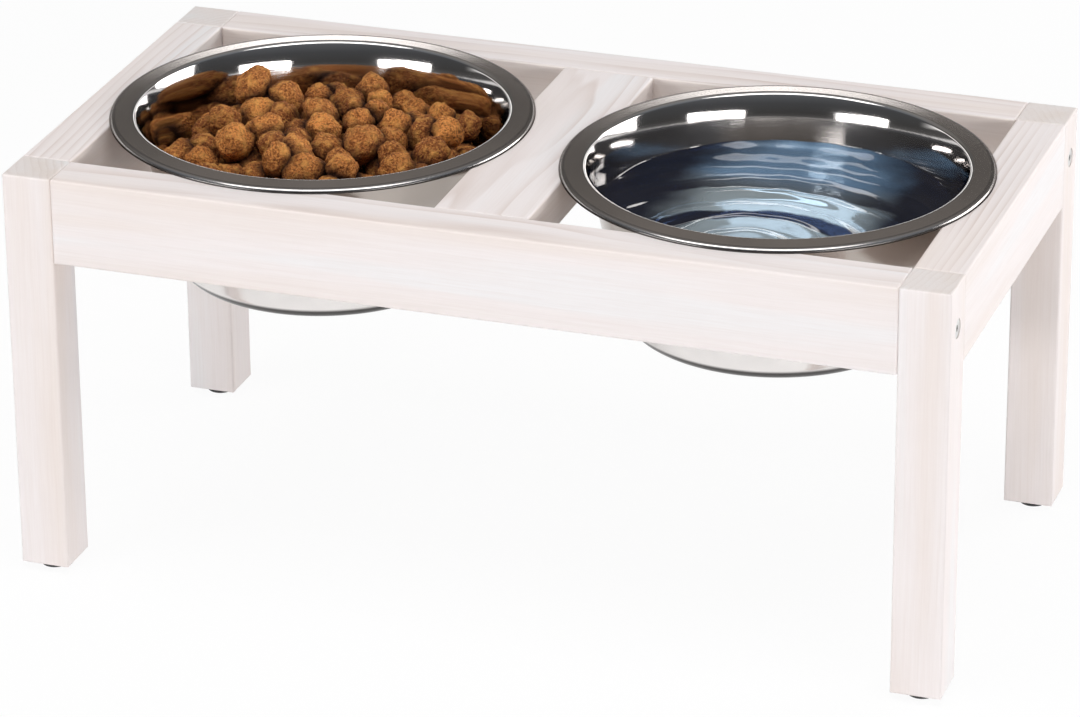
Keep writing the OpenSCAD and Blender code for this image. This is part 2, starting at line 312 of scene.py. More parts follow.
class FeederStage(bpy.types.PropertyGroup):
    """Camera and light"""

    azimuth: FloatProperty(
        name="Azimuth", description="Camera angle round the stand", subtype="ANGLE",
        default=math.radians(19.1))
    elevation: FloatProperty(
        name="Elevation", description="Camera angle above the floor", subtype="ANGLE",
        default=math.radians(24.3))
    roll: FloatProperty(
        name="Roll", description="Turn of the camera about its line of sight", subtype="ANGLE",
        default=math.radians(-0.45))
    distance: FloatProperty(
        name="Distance", description="Distance of the camera from its target",
        default=3.25, unit="LENGTH")
    lens: FloatProperty(
        name="Lens", description="Focal length of the camera in millimetres", default=171.2)
    target: FloatVectorProperty(
        name="Target", description="Point in the middle of the picture", subtype="TRANSLATION",
        default=(-0.0057, 0.0, 0.1205))
    light: FloatProperty(
        name="Light", description="Strength of all the lamps together", default=1.0)


def set_inputs(tree, made, inputs):
    """Sets inputs of a node by name or number. An input is a value, or a socket to link."""
    for key, value in inputs.items():
        if isinstance(value, bpy.types.NodeSocket):
            tree.links.new(value, made.inputs[key])
        else:
            made.inputs[key].default_value = value


def node(tree, kind, inputs=None, **settings):
    """Adds a shader node with its settings and inputs."""
    made = tree.nodes.new("ShaderNode" + kind)
    for key, value in settings.items():
        setattr(made, key, value)
    set_inputs(tree, made, inputs or {})
    return made


def math_node(tree, operation, a, b=0.0, c=0.0):
    return node(tree, "Math", {0: a, 1: b, 2: c}, operation=operation).outputs[0]


def stretch(tree, vector, factors):
    return node(tree, "VectorMath", {0: vector, 1: factors}, operation="MULTIPLY").outputs[0]


def vector_value(tree, operation, a, b=(0.0, 0.0, 0.0)):
    return node(tree, "VectorMath", {0: a, 1: b}, operation=operation).outputs["Value"]


def height_of(tree, vector):
    return node(tree, "SeparateXYZ", {0: vector}).outputs[2]


def radius_of(tree, place):
    """Distance of a place from the Z axis."""
    return vector_value(tree, "LENGTH", stretch(tree, place, (1.0, 1.0, 0.0)))


def noise_value(tree, vector, scale, detail=2.0, roughness=0.5):
    inputs = {"Vector": vector, "Scale": scale, "Detail": detail, "Roughness": roughness}
    return node(tree, "TexNoise", inputs).outputs["Fac"]


def map_range(tree, value, low, high, to_low=0.0, to_high=1.0, smooth=False):
    inputs = {"Value": value, "From Min": low, "From Max": high, "To Min": to_low, "To Max": to_high}
    kind = "SMOOTHSTEP" if smooth else "LINEAR"
    return node(tree, "MapRange", inputs, interpolation_type=kind).outputs[0]


def opaque(colour):
    """A colour for an input of a node: a socket as it is, or three values with full alpha."""
    return colour if isinstance(colour, bpy.types.NodeSocket) else (*colour, 1.0)


def scaled(colour, factor):
    """A darker or paler tone of a colour."""
    return tuple(min(1.0, factor * c) for c in colour)


def mix_colour(tree, factor, a, b, blend="MIX"):
    inputs = {"Factor": factor, 6: opaque(a), 7: opaque(b)}
    return node(tree, "Mix", inputs, data_type="RGBA", blend_type=blend).outputs[2]


def new_group(name, setting, default, outputs):
    """A shader node group with a Place and one setting. Returns it, both inputs and its output node."""
    group = bpy.data.node_groups.new(name, "ShaderNodeTree")
    sockets = group.interface
    sockets.new_socket(name="Place", in_out="INPUT", socket_type="NodeSocketVector")
    socket = sockets.new_socket(name=setting, in_out="INPUT", socket_type="NodeSocketFloat")
    socket.default_value = default
    for label in outputs:
        sockets.new_socket(name=label, in_out="OUTPUT", socket_type="NodeSocketFloat")
    source = group.nodes.new("NodeGroupInput").outputs
    return group, source["Place"], source[setting], group.nodes.new("NodeGroupOutput")


def place_group(tree, name, inputs):
    """Places a shared group, which is built the first time, and returns its outputs."""
    if name not in bpy.data.node_groups:
        GROUP_BUILDERS[name]()
    return node(tree, "Group", inputs, node_tree=bpy.data.node_groups[name]).outputs


def grain_noise(tree, place, length, scale, detail=2.0, roughness=0.5):
    """Noise drawn out along the Z axis, more so for a smaller length."""
    return noise_value(tree, stretch(tree, place, (1.0, 1.0, length)), scale, detail, roughness)


def build_wood_grain():
    """Growth rings round the Z axis of Place, with the tone and fibres of sawn wood."""
    tree, place, pitch, sink = new_group("Wood grain", "Ring Pitch", 0.004, ("Line", "Tone", "Fibre"))
    warp = grain_noise(tree, place, 0.10, 22.0)
    sway = grain_noise(tree, place, 0.35, 9.0, 1.0)
    bent = math_node(tree, "MULTIPLY_ADD", warp, 0.012, radius_of(tree, place))
    bent = math_node(tree, "MULTIPLY_ADD", sway, 0.014, bent)
    phase = math_node(tree, "FRACT", math_node(tree, "DIVIDE", bent, pitch))
    rise = math_node(tree, "POWER", phase, 3.0)
    fall = map_range(tree, phase, 0.93, 1.0, 1.0, 0.0)
    line = math_node(tree, "MULTIPLY", rise, fall)
    patchy = map_range(tree, grain_noise(tree, place, 0.15, 40.0), 0.35, 0.65, 0.15, 1.0)
    set_inputs(tree, sink, {
        "Line": math_node(tree, "MULTIPLY", line, patchy),
        "Tone": grain_noise(tree, place, 0.07, 30.0),
        "Fibre": grain_noise(tree, place, 0.03, 900.0, 3.0, 0.6)})


def build_turned_marks():
    """Fine rings left by polishing a sheet on a lathe, about the Z axis of Place, and faint smudges."""
    tree, place, fineness, sink = new_group("Turned marks", "Fineness", 2500.0, ("Groove", "Smudge"))
    rings = node(tree, "CombineXYZ", {0: radius_of(tree, place), 1: height_of(tree, place)}).outputs[0]
    set_inputs(tree, sink, {
        "Groove": noise_value(tree, rings, fineness, 3.0, 0.65),
        "Smudge": noise_value(tree, place, 16.0, 3.0, 0.55)})


def build_speckle():
    """Fine rough speckle of baked or moulded stuff, with coarse lumps."""
    tree, place, grain, sink = new_group("Speckle", "Grain", 900.0, ("Speck", "Lump"))
    set_inputs(tree, sink, {
        "Speck": noise_value(tree, place, grain, 3.0, 0.65),
        "Lump": noise_value(tree, place, math_node(tree, "MULTIPLY", grain, 0.25))})


GROUP_BUILDERS = {
    "Wood grain": build_wood_grain,
    "Turned marks": build_turned_marks,
    "Speckle": build_speckle,
}


def new_material(name):
    """A node material. Returns it with its tree, its shader and the place on the piece at rest."""
    material = bpy.data.materials.new(name)
    material.use_nodes = True
    tree = material.node_tree
    shader = tree.nodes["Principled BSDF"]
    place = node(tree, "TexCoord").outputs["Object"]
    return material, tree, shader, place


def moved_place(tree, place, offset, turn=(0.0, 0.0, 0.0)):
    return node(tree, "Mapping", {"Vector": place, "Location": offset, "Rotation": turn}).outputs[0]


def bump(tree, shader, height, distance, strength):
    made = node(tree, "Bump", {"Height": height, "Distance": distance, "Strength": strength})
    tree.links.new(made.outputs[0], shader.inputs["Normal"])


def washed_pine(name, axis, index, colours):
    """Pine with a thin white wash: its grain runs along the axis, and each piece has its own cut."""
    material, tree, shader, place = new_material("pine_" + name)
    cut = Vector((0.045 + 0.013 * (index % 4), 0.06 - 0.021 * (index % 3), 0.37 * index))
    local = moved_place(tree, place, cut, GRAIN_TURN[axis])
    grain = place_group(tree, "Wood grain", {"Place": local, "Ring Pitch": PINE_RING_PITCH})
    warm = map_range(tree, grain["Tone"], 0.48, 0.75, 0.0, 0.45, True)
    colour = mix_colour(tree, warm, colours.wash, colours.warm)
    thick = map_range(tree, grain["Tone"], 0.48, 0.34, 0.0, 0.7, True)
    colour = mix_colour(tree, thick, colour, colours.chalk)
    normal = node(tree, "NewGeometry").outputs["Normal"]
    upward = height_of(tree, normal)
    worn = map_range(tree, upward, *FACING, FACE_LINES, END_LINES if axis == "z" else TOP_LINES)
    line = math_node(tree, "MULTIPLY", grain["Line"], worn)
    colour = mix_colour(tree, line, colour, colours.late_wood)
    fibre = map_range(tree, grain["Fibre"], 0.35, 0.75, 0.0, 0.16)
    colour = mix_colour(tree, fibre, colour, colours.late_wood)
    if axis == "z":
        colour = mix_colour(tree, map_range(tree, upward, *FACING), colour, colours.end_grain, "MULTIPLY")
    else:
        # Painted shade on the faces turned towards a bowl
        inner = vector_value(tree, "DOT_PRODUCT", normal, INNER_SIDE[name])
        if name == "centre_bar":
            inner = math_node(tree, "ABSOLUTE", inner)
        colour = mix_colour(tree, map_range(tree, inner, *FACING), colour, colours.painted_inner_shade, "MULTIPLY")
    rough = map_range(tree, grain["Fibre"], 0.25, 0.75, 0.50, 0.68)
    set_inputs(tree, shader, {"Base Color": colour, "Roughness": rough, "Specular IOR Level": 0.35})
    height = math_node(tree, "MULTIPLY_ADD", grain["Line"], -0.6, grain["Fibre"])
    bump(tree, shader, height, 0.0002, 0.25)
    return material


def beech_dowel(colours):
    material, tree, shader, place = new_material("beech_dowel")
    grain = place_group(tree, "Wood grain", {"Place": place, "Ring Pitch": 0.002})
    colour = mix_colour(tree, grain["Fibre"], colours.beech, scaled(colours.beech, 0.7))
    set_inputs(tree, shader, {"Base Color": colour, "Roughness": 0.7})
    bump(tree, shader, grain["Fibre"], 0.0002, 0.3)
    return material


def steel(name, colour, centre, fineness, rough, groove_depth, painted_bands=(), edge_tint=None):
    """Stainless steel with turned marks: their fineness and depth, the range of the roughness, painted
    bands of shade and reflection as (height where it begins, height where it is full, colour), and the
    tint at a glancing angle."""
    material, tree, shader, place = new_material(name)
    local = moved_place(tree, place, -centre)
    marks = place_group(tree, "Turned marks", {"Place": local, "Fineness": fineness})
    smudge = map_range(tree, marks["Smudge"], 0.35, 0.70)
    colour = mix_colour(tree, smudge, colour, scaled(colour, 0.85))
    # Painted shade and reflection in bands by height
    for begin, full, painted_colour in painted_bands:
        share = map_range(tree, height_of(tree, local), begin, full, 0.0, PAINTED_BAND_STRENGTH, True)
        colour = mix_colour(tree, share, colour, painted_colour)
    uneven = math_node(tree, "MULTIPLY", marks["Groove"], 0.5)
    uneven = math_node(tree, "MULTIPLY_ADD", smudge, 0.5, uneven)
    set_inputs(tree, shader, {
        "Base Color": colour, "Metallic": 1.0, "Roughness": map_range(tree, uneven, 0.2, 0.8, *rough)})
    if edge_tint:
        set_inputs(tree, shader, {"Specular Tint": opaque(edge_tint)})
    bump(tree, shader, marks["Groove"], groove_depth, 0.25)
    return material


def speckled(name, colour, second_tone, metallic, grain, rough, depth, strength):
    """A fine grainy finish in two tones of a colour."""
    material, tree, shader, place = new_material(name)
    speckle = place_group(tree, "Speckle", {"Place": place, "Grain": grain})
    set_inputs(tree, shader, {
        "Base Color": mix_colour(tree, speckle["Lump"], colour, scaled(colour, second_tone)),
        "Metallic": metallic, "Roughness": map_range(tree, speckle["Speck"], 0.3, 0.7, *rough)})
    bump(tree, shader, speckle["Speck"], depth, strength)
    return material


def zinc_plate(colours):
    return speckled("zinc_plate", colours.zinc, 0.8, 1.0, 1400.0, (0.36, 0.52), 0.0001, 0.2)


def moulded_glide(colours):
    return speckled("moulded_glide", colours.glide, 1.7, 0.0, 1800.0, (0.45, 0.62), 0.0002, 0.25)


def baked_food(colours):
    """Toasted crust with dark specks and pale lumps. Each nugget has its own tone, with painted shade
    deeper in the heap and painted shade where it meets others."""
    material, tree, shader, place = new_material("baked_food")
    # Random tone of each nugget, with painted shade deeper in the heap
    tone_and_shade = node(tree, "Attribute", attribute_name="nugget_tone_and_shade").outputs["Fac"]
    clear = node(tree, "Attribute", attribute_name="nugget_clear_of_painted_shade").outputs["Fac"]
    speckle = place_group(tree, "Speckle", {"Place": place, "Grain": 680.0})
    colour = mix_colour(tree, tone_and_shade, colours.toasted, colours.crust)
    pale = scaled(colours.crust, 1.5)
    for mark, begin, full, strength, mark_colour in (
            ("Speck", 0.48, 0.62, 0.72, colours.crumb),
            ("Lump", 0.50, 0.70, 0.6, pale),
            ("Speck", 0.46, 0.36, 0.55, pale)):
        share = map_range(tree, speckle[mark], begin, full, 0.0, strength)
        colour = mix_colour(tree, share, colour, mark_colour)
    # Painted shade in the crevices where a nugget meets others
    colour = mix_colour(tree, clear, scaled(colours.crumb, 0.5), colour)
    set_inputs(tree, shader, {"Base Color": colour, "Roughness": 0.85, "Specular IOR Level": 0.25})
    rough_skin = math_node(tree, "MULTIPLY_ADD", speckle["Lump"], 1.2, speckle["Speck"])
    bump(tree, shader, rough_skin, 0.0026, 1.0)
    return material


def clear_water(colours, middle):
    """Water with a faint haze, with painted light and shade in its tint: lightest across the middle and
    towards the front, with painted dark rings and a painted dark edge.
    """
    material, tree, shader, place = new_material("clear_water")
    local = moved_place(tree, place, -middle)
    drift = noise_value(tree, place, 30.0)
    rearward = node(tree, "SeparateXYZ", {0: local}).outputs[1]
    # Painted light: a brighter tint towards the front
    colour = mix_colour(tree, map_range(tree, rearward, 0.045, 0.022), colours.water, colours.painted_bright_water)
    ring = vector_value(tree, "DISTANCE", local, PAINTED_WATER_RINGS)
    ring = math_node(tree, "ADD", ring, WATER_WANDER)
    ring = math_node(tree, "MULTIPLY_ADD", drift, WATER_WANDER, ring)
    wave = math_node(tree, "COSINE", math_node(tree, "MULTIPLY", ring, 2.0 * math.pi / PAINTED_RING_PITCH))
    # Painted shade in dark rings
    painted_bands = map_range(tree, wave, 0.50, 0.80, 0.0, 1.0, True)
    painted_bands = math_node(tree, "MULTIPLY", painted_bands, map_range(tree, rearward, 0.060, 0.010, 0.1, 1.0))
    painted_bands = math_node(tree, "MULTIPLY", painted_bands, map_range(tree, ring, 0.060, 0.090))
    colour = mix_colour(tree, painted_bands, colour, colours.painted_water_shade)
    away = vector_value(tree, "LENGTH", stretch(tree, local, (1.0, 0.4, 0.0)))
    away = math_node(tree, "MULTIPLY_ADD", drift, 0.030, away)
    # Painted shade along the wall of the bowl
    edge = map_range(tree, away, 0.052, 0.092, 0.0, 1.0, True)
    set_inputs(tree, shader, {
        "Base Color": mix_colour(tree, edge, colour, colours.painted_water_shade),
        "Roughness": 0.0, "IOR": 1.333, "Transmission Weight": 0.70})
    return material


def new_piece(name, vertices, faces, body):
    """Makes a mesh piece with smooth faces and lets it ride on a body."""
    mesh = bpy.data.meshes.new(name)
    mesh.from_pydata(vertices, [], faces)
    mesh.validate()
    mesh.shade_smooth()
    piece = bpy.data.objects.new(name, mesh)
    bpy.context.scene.collection.objects.link(piece)
    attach(piece, body)
    return piece


def arc(centre, radius, start, end, steps):
    """Points of an arc in the half section of a bowl, angles in radians."""
    angles = np.linspace(start, end, steps + 1)
    return [(centre[0] + radius * math.cos(a), centre[1] + radius * math.sin(a)) for a in angles]


def along(start, end, steps):
    """Points between two ends of a straight stretch, close together near the ends."""
    shares = 0.5 - 0.5 * np.cos(np.linspace(0.0, math.pi, steps + 2)[1:-1])
    return [(start[0] + s * (end[0] - start[0]), start[1] + s * (end[1] - start[1])) for s in shares]


def bowl_bends(sizes):
    """Middles of the bends at the rim, in the flare and at the base, and the lean of the wall."""
    throat = Vector((RIM_RADIUS - sizes.rim_width, -sizes.throat_radius))
    drop = Vector((math.cos(sizes.flare_lean), -math.sin(sizes.flare_lean)))
    flare = throat + (sizes.flare_radius - sizes.throat_radius) * drop
    base = Vector((sizes.base_radius, sizes.sheet + sizes.base_bend - BOWL_DEPTH))
    span = flare - base
    touch = math.asin((sizes.flare_radius + sizes.base_bend) / span.length)
    return throat, flare, base, math.pi / 2 - math.atan2(span.y, span.x) - touch


def lip_bend(sizes):
    """Middle of the bend from the sloping rim down to the lip."""
    slope = sizes.rim_slope
    throat = bowl_bends(sizes)[0]
    upward = Vector((math.sin(slope), math.cos(slope)))
    start = throat + (sizes.throat_radius - sizes.lip_radius) * upward
    reach = RIM_RADIUS - sizes.lip_radius
    return Vector((reach, start.y - (reach - start.x) * math.tan(slope)))


def bowl_skin(sizes, depth):
    """Half section of one face of the sheet, from the middle of the base to the rim, depth into it."""
    throat, flare, base, lean = bowl_bends(sizes)
    right = math.pi / 2
    floor_height = sizes.sheet - depth - BOWL_DEPTH
    flare_end = math.pi - sizes.flare_lean
    bend = arc(base, sizes.base_bend + depth, -right, -lean, SECTION_STEPS["bend"])
    upper = arc(flare, sizes.flare_radius - depth, math.pi - lean, flare_end, SECTION_STEPS["flare"])
    upper += arc(throat, sizes.throat_radius - depth, flare_end, right - sizes.rim_slope,
                 SECTION_STEPS["throat"])[1:]
    flat = along((0.0, floor_height), bend[0], SECTION_STEPS["base"])
    wall = along(bend[-1], upper[0], SECTION_STEPS["wall"])
    return flat + bend + wall + upper


def bowl_section(sizes):
    """Half section of a bowl as (radius, height, zone), from the middle inside to the middle outside."""
    lip = lip_bend(sizes)
    edge = lip.y - sizes.lip_edge
    top = math.pi / 2 - sizes.rim_slope
    inside = bowl_skin(sizes, 0.0)
    under = bowl_skin(sizes, sizes.sheet)[::-1]
    lip_top = arc(lip, sizes.lip_radius, top, 0.0, SECTION_STEPS["lip"])
    lip_under = arc(lip, sizes.lip_radius - sizes.sheet, 0.0, top, SECTION_STEPS["lip_under"])
    rim = along(inside[-1], lip_top[0], SECTION_STEPS["rim"])
    turned = rim[-1:] + lip_top + [(RIM_RADIUS, edge), (RIM_RADIUS - sizes.sheet, edge)]
    outside = lip_under + along(lip_under[-1], under[0], SECTION_STEPS["rim"]) + under
    zones = (inside, rim[:-1], turned, outside)
    return [(r, z, zone) for zone, points in enumerate(zones) for r, z in points]


def turn_section(section, middle_top, middle_bottom, centre, turns):
    """Turns a half section about the bowl's axis. Returns vertices, faces and the zone of each face."""
    angles = np.linspace(0.0, 2.0 * math.pi, turns, endpoint=False)
    vertices = [(centre.x + r * math.cos(a), centre.y + r * math.sin(a), centre.z + z)
                for r, z, _ in section for a in angles]
    faces = []
    zones = []
    for row in range(len(section) - 1):
        for k in range(turns):
            after = (k + 1) % turns
            low, high = row * turns, (row + 1) * turns
            faces.append((low + k, high + k, high + after, low + after))
            zones.append(section[row + 1][2])
    last = len(section) - 1
    fans = ((0, middle_top, section[0][2], True), (last * turns, middle_bottom, section[last][2], False))
    for first, height, zone, inward in fans:
        middle = len(vertices)
        vertices.append((centre.x, centre.y, centre.z + height))
        for k in range(turns):
            pair = (first + k, first + (k + 1) % turns)
            faces.append((middle, *pair) if inward else (middle, pair[1], pair[0]))
            zones.append(zone)
    return vertices, faces, zones


class FEEDER_OT_bowls(bpy.types.Operator):
    """Press the two steel bowls: polished inside, satin outside, each with its own rim and lip, and with
    painted shade and reflection at the base edges, along the lips and under the rims
    """

    bl_idname = "feeder.bowls"
    bl_label = "Steel bowls"

    def execute(self, context):
        sizes = context.scene.feeder_bowls
        colours = context.scene.feeder_colours
        section = bowl_section(sizes)
        lip = lip_bend(sizes).y
        # Painted shade and reflection on the outside, under the rims
        painted_upper_shade = (*PAINTED_SHADE_UNDER_RIM, colours.upper)
        # Painted reflection of the shaded floor under the stand, round the base bend
        base_painted_reflection = (*(sizes.base_bend * share - BOWL_DEPTH for share in BASE_EDGE), colours.painted_dark_edge)
        # Painted dark reflection and shade along the outer bend of the lip
        lip_painted_shade = (*(lip + sizes.lip_radius * share for share in LIP_EDGE), colours.painted_dark_edge)
        # One finish for each zone of the section, in order
        finishes = (
            ("polished", colours.steel, 1800.0, (0.05, 0.10), 0.00003, (), None),
            ("rim", colours.rim, 2600.0, (0.08, 0.14), 0.00004, (), None),
            ("lip", colours.lip, 2600.0, (0.16, 0.24), 0.00004, (lip_painted_shade,), scaled(colours.lip, 0.5)),
            ("satin", colours.satin, 2200.0, (0.13, 0.21), 0.00006, (base_painted_reflection, painted_upper_shade), None),
        )
        for side in SIDES:
            centre = bowl_axis(side)
            vertices, faces, zones = turn_section(
                section, sizes.sheet - BOWL_DEPTH, -BOWL_DEPTH, centre, sizes.turns)
            bowl = new_piece(side + "_steel_bowl", vertices, faces, "bowl_" + side)
            bowl.data.set_sharp_from_angle(angle=SHARP_ANGLE)
            for finish, colour, *marks in finishes:
                bowl.data.materials.append(steel(f"{side}_bowl_{finish}", colour, centre, *marks))
            bowl.data.polygons.foreach_set("material_index", zones)
            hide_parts(side + "_bowl")
        return {"FINISHED"}


def dress(name, material):
    """Gives a CAD node its material."""
    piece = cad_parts[name]
    piece.data.materials.clear()
    piece.data.materials.append(material)


class FEEDER_OT_timber(bpy.types.Operator):
    """Give the legs, the rails and the centre bar their washed pine"""

    bl_idname = "feeder.timber"
    bl_label = "Washed timber"

    def execute(self, context):
        colours = context.scene.feeder_colours
        for index, (name, axis) in enumerate(TIMBER_GRAIN.items()):
            dress(name, washed_pine(name, axis, index, colours))
        return {"FINISHED"}


class FEEDER_OT_hardware(bpy.types.Operator):
    """Finish the bolts, barrel nuts, nails, dowels and glides"""

    bl_idname = "feeder.hardware"
    bl_label = "Fasteners and glides"

    def execute(self, context):
        colours = context.scene.feeder_colours
        zinc = zinc_plate(colours)
        plastic = moulded_glide(colours)
        beech = beech_dowel(colours)
        for corner in CORNERS:
            dress("bolt_" + corner, zinc)
            dress("barrel_nut_" + corner, zinc)
            dress("glide_" + corner, plastic)
        dress("glide_nails", zinc)
        for name in INNER_SIDE:
            dress("dowels_" + name, beech)
        return {"FINISHED"}


def inner_radius(sizes, height):
    """Inner radius of a bowl's wall or base bend at a height below its rim (heights are negative)."""
    _, _, base, lean = bowl_bends(sizes)
    touch_r = base[0] + sizes.base_bend * math.cos(lean)
    touch_z = base[1] - sizes.base_bend * math.sin(lean)
    if height >= touch_z:
        return touch_r + (height - touch_z) * math.tan(lean)
    drop = min(sizes.base_bend, base[1] - height)
    return base[0] + math.sqrt(sizes.base_bend ** 2 - drop ** 2)


def heap_top(food, sizes, x, y):
    """Height of the heap's skin, relative to the rim, at a place in the bowl."""
    wide = inner_radius(sizes, -food.heap_edge)
    fineness, height = HEAP_UNEVEN
    share = np.clip((x ** 2 + (y - HEAP_BEHIND) ** 2) / wide ** 2, 0.0, 1.0)
    uneven = noise.noise(Vector((x, y, 0.0)) * fineness) * height
    return -food.heap_edge + food.heap_rise * (1.0 - share) + uneven


def settle_heap(food, sizes, draw):
    """Packs round nuggets in the bowl under the heap's skin. Returns middles and radii."""
    mean = food.nugget / 2
    pitch = food.nugget * HEAP_SPACING
    floor_in = sizes.sheet - BOWL_DEPTH
    middles = []
    for layer, z in enumerate(np.arange(floor_in + mean, 0.0, pitch * LAYER_STEP)):
        shift = (layer % 2) * pitch / 2
        for row, y in enumerate(np.arange(-HEAP_HALF, HEAP_HALF, pitch * ROW_STEP)):
            for x in np.arange(-HEAP_HALF, HEAP_HALF, pitch):
                spot = np.array((x + shift + (row % 2) * pitch / 2, y + shift * 0.58, z))
                spot += draw.normal(0.0, SCATTER * food.nugget, 3) * (1.0, 1.0, 0.6)
                reach = math.hypot(spot[0], spot[1])
                under = spot[2] + mean * 0.8 < heap_top(food, sizes, spot[0], spot[1])
                if under and reach + mean < inner_radius(sizes, spot[2]) + 0.004:
                    middles.append(spot)
    middles = np.array(middles)
    radii = mean * draw.uniform(*NUGGET_SPREAD, len(middles))
    for _ in range(SETTLE_ROUNDS):
        gap = middles[:, None, :] - middles[None, :, :]
        far = np.linalg.norm(gap, axis=2) + np.eye(len(middles))
        deep = np.clip(TOUCHING * (radii[:, None] + radii[None, :]) - far, 0.0, None)
        np.fill_diagonal(deep, 0.0)
        push = (gap / far[:, :, None] * deep[:, :, None]).sum(axis=1) * PUSHED_SHARE
        push[:, 2] -= SINK_STEP
        middles = middles + push
        reach = np.linalg.norm(middles[:, :2], axis=1)
        limit = np.array([inner_radius(sizes, z) for z in middles[:, 2]]) - radii * 1.02
        shrink = np.minimum(1.0, limit / np.maximum(reach, 1e-6))
        middles[:, :2] *= shrink[:, None]
        middles[:, 2] = np.maximum(middles[:, 2], floor_in + radii)
    return middles, radii


def fuse_pairs(middles, draw):
    """Draws some nuggets together with a neighbour, as if they had baked in one."""
    free = set(range(len(middles)))
    for first in draw.permutation(len(middles)):
        if first not in free or draw.random() > FUSED_SHARE:
            continue
        away = np.linalg.norm(middles - middles[first], axis=1)
        partners = [k for k in np.argsort(away)[1:6] if k in free]
        if partners:
            free -= {first, partners[0]}
            step = FUSED_STEP * (middles[partners[0]] - middles[first])
            middles[first] += step
            middles[partners[0]] -= step
    return middles


def inside_bowl(points, sizes):
    """Presses points back inside the bowl, clear of its wall and its base."""
    clear = sizes.sheet / 2
    heights = np.linspace(sizes.sheet - BOWL_DEPTH, 0.0, 240)
    widths = [inner_radius(sizes, z) for z in heights]
    points[:, 2] = np.maximum(points[:, 2], heights[0] + clear)
    limit = np.interp(points[:, 2], heights, widths) - clear
    reach = np.linalg.norm(points[:, :2], axis=1)
    points[:, :2] *= np.minimum(1.0, limit / np.maximum(reach, clear))[:, None]
    return points


def painted_crevice_mask(points, own, middles, radii):
    """Mask of painted shade: how open each point of a nugget lies, 0 against a neighbour, 1 clear of all
    of them.
    """
    away = np.linalg.norm(middles - middles[own], axis=1)
    near = np.flatnonzero((away > 0.0) & (away < NEIGHBOUR_REACH * radii.max()))
    if len(near) == 0:
        return np.ones(len(points))
    gap = np.linalg.norm(points[:, None, :] - middles[None, near, :], axis=2) - radii[near]
    return np.clip(gap.min(axis=1) / (CLEAR_GAP * radii[own]), 0.0, 1.0)


def nugget_points(ball, radius, draw):
    """A lumpy nugget from the points of a unit ball."""
    squeeze = draw.uniform(*NUGGET_SQUEEZE, 3)
    offset = Vector(draw.uniform(-50.0, 50.0, 3))
    points = []
    for direction in ball:
        lump = 0.0
        for fineness, height in NUGGET_LUMPS:
            lump += noise.noise(direction * fineness + offset) * height
        points.append(direction * (1.0 + lump))
    turned = Matrix.Rotation(draw.uniform(0.0, 6.28), 3, Vector(draw.normal(0.0, 1.0, 3)))
    return [turned @ Vector(p * s for p, s in zip(point, squeeze)) * radius for point in points]


def unit_ball(divisions):
    ball = bmesh.new()
    bmesh.ops.create_icosphere(ball, subdivisions=divisions, radius=1.0)
    points = [v.co.copy() for v in ball.verts]
    faces = [tuple(v.index for v in f.verts) for f in ball.faces]
    ball.free()
    return points, faces


class FEEDER_OT_food(bpy.types.Operator):
    """Heap the dry food in the left bowl"""

    bl_idname = "feeder.food"
    bl_label = "Dry food"

    def execute(self, context):
        food = context.scene.feeder_food
        if not food.show_food:
            return {"FINISHED"}
        sizes = context.scene.feeder_bowls
        centre = bowl_axis("left")
        draw = np.random.default_rng(food.seed)
        middles, radii = settle_heap(food, sizes, draw)
        middles = fuse_pairs(middles, draw)
        skin = np.array([heap_top(food, sizes, *m[:2]) for m in middles])
        shown = middles[:, 2] > skin - FINE_DEPTH * food.nugget
        fine, coarse = unit_ball(4), unit_ball(2)
        # Painted shade on the nuggets that lie deeper below the heap's skin
        painted_depth_shades = np.minimum(1.0, SKIN_BRIGHTNESS - DEPTH_SHADE_FALL * np.clip(skin - middles[:, 2], *SHADE_DEPTHS))
        vertices = []
        faces = []
        tones_and_shades = []
        clear = []
        for own, middle in enumerate(middles):
            ball, ball_faces = fine if shown[own] else coarse
            start = len(vertices)
            points = inside_bowl(np.array(nugget_points(ball, radii[own], draw)) + middle, sizes)
            # Painted shade: how clear each point lies of the neighbouring nuggets
            clear.extend(painted_crevice_mask(points, own, middles, radii))
            vertices.extend(centre + Vector(p) for p in points)
            faces.extend(tuple(start + i for i in f) for f in ball_faces)
            tones_and_shades.extend([draw.uniform(*NUGGET_TONES) * painted_depth_shades[own]] * len(ball))
        heap = new_piece("dry_food", vertices, faces, "bowl_left")
        for label, values in (("nugget_tone_and_shade", tones_and_shades), ("nugget_clear_of_painted_shade", clear)):
            heap.data.attributes.new(label, "FLOAT", "POINT").data.foreach_set("value", values)
        heap.data.materials.append(baked_food(context.scene.feeder_colours))
        return {"FINISHED"}


def ripple_height(food, x, y):
    """Height of the rippled water at a place in the bowl, relative to its level."""
    total = 0.0
    for at_x, at_y, length, phase in RIPPLES:
        away = math.hypot(x - at_x, y - at_y)
        total += math.sin(2.0 * math.pi * away / length + phase) * math.exp(-away / RIPPLE_FADE)
    return food.ripple * total


